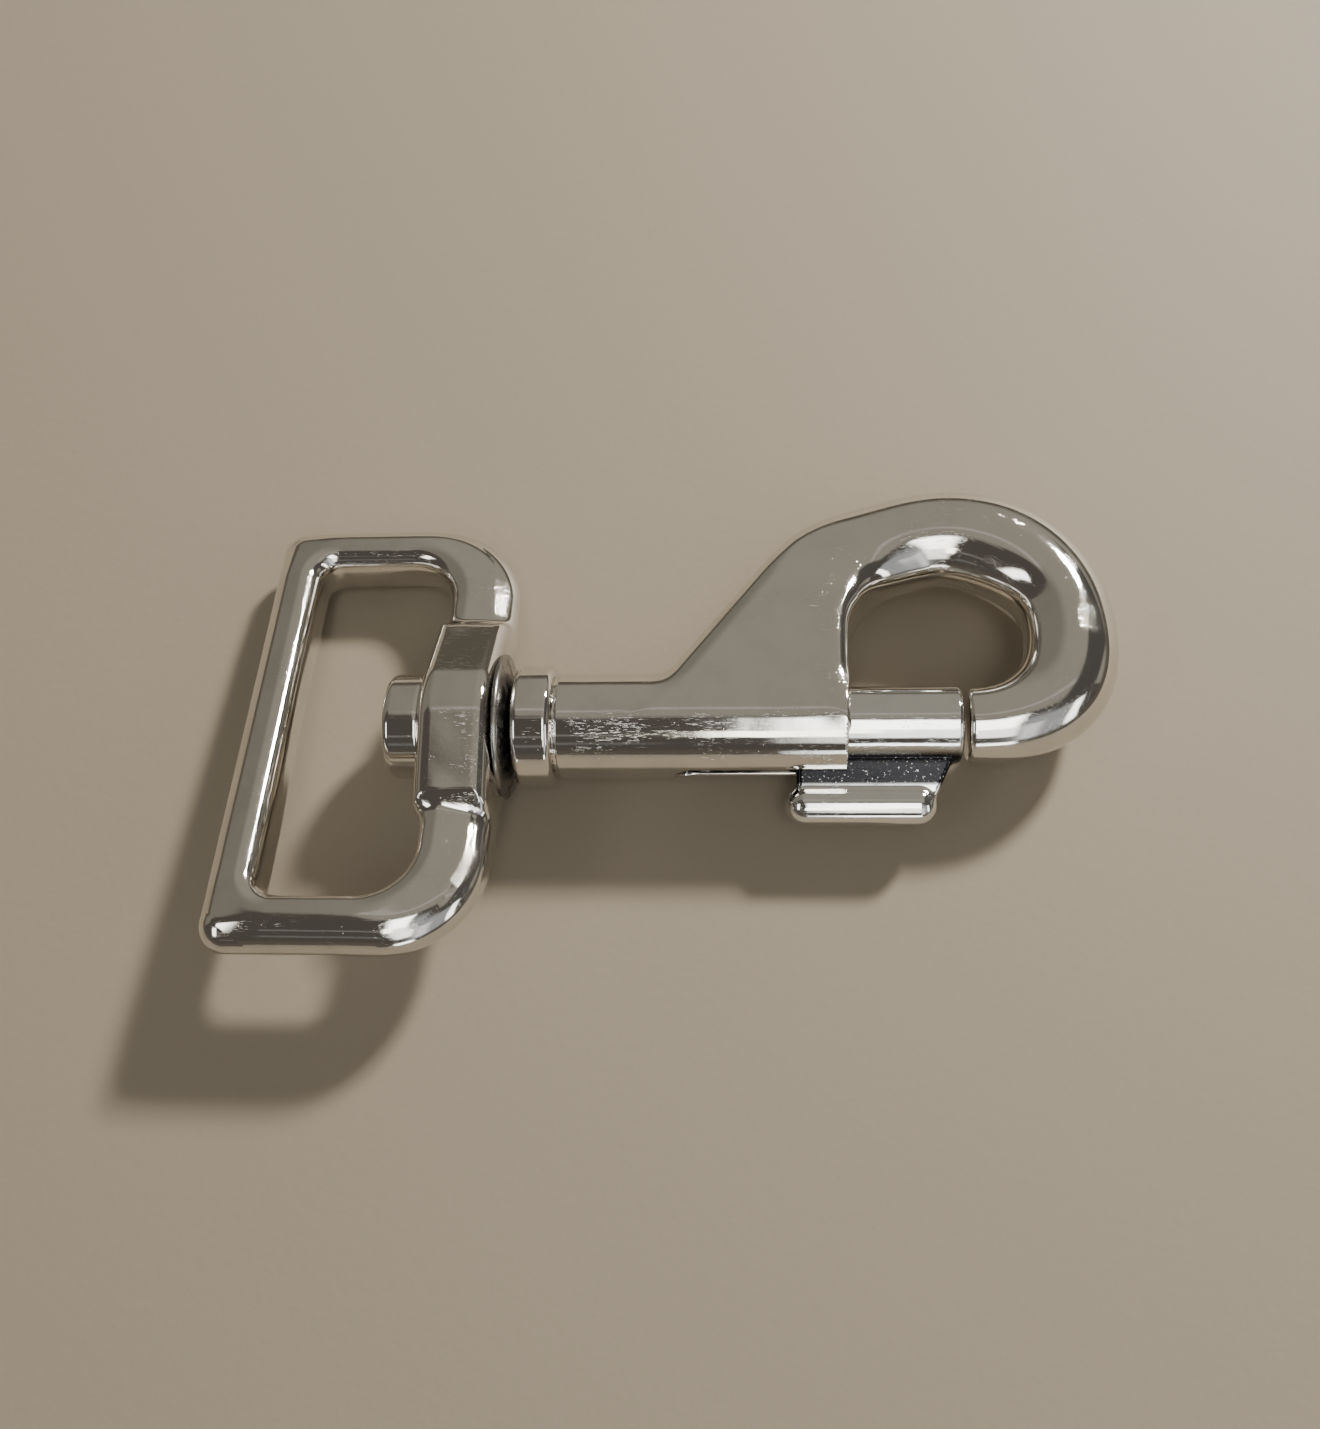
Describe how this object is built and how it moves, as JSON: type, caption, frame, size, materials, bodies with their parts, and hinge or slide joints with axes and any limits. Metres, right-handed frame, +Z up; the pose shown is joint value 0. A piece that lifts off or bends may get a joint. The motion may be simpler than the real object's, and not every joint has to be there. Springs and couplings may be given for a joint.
{
  "type": "bolt snap",
  "caption": "Swivel bolt snap: a sprung bolt with a thumb lever shuts a round hook, and a squared strap eye swivels on a headed stud behind the barrel.",
  "frame": {"origin": "centre of the footprint on the surface that the snap lies on", "axes": "+X along the swivel axis towards the hook, +Y towards the crown of the hook, +Z up from the surface; the hook lies flat, thumb lever towards -Y"},
  "size_m": [0.0702, 0.0408, 0.0116],
  "materials": {
    "nickel_plate": "polished nickel plate over a casting, finely scratched",
    "spring_wire": "drawn spring wire",
    "dark_steel": "dull dark steel, turned"
  },
  "bodies": {
    "snap": {"hook_body": "nickel_plate", "barrel_collar": "nickel_plate", "swivel_stud": "nickel_plate", "bolt_spring": "spring_wire"},
    "bolt": {"bolt": "nickel_plate"},
    "washer": {"thrust_washer": "dark_steel"},
    "eye": {"swivel_eye": "nickel_plate"}
  },
  "joints": [
    {"name": "bolt_slide", "type": "slide", "parent": "snap", "child": "bolt", "axis": [-1, 0, 0], "range_m": [0, 0.0086], "stiffness_N_per_m": 400, "springref_m": -0.012, "deforming": ["bolt_spring"]},
    {"name": "eye_swivel", "type": "hinge", "parent": "snap", "child": "eye", "pos_m": [-0.0165, -0.00058, 0.0058], "axis": [1, 0, 0], "continuous": true},
    {"name": "washer_spin", "type": "hinge", "parent": "snap", "child": "washer", "pos_m": [-0.0133, -0.00058, 0.0058], "axis": [1, 0, 0], "continuous": true}
  ]
}
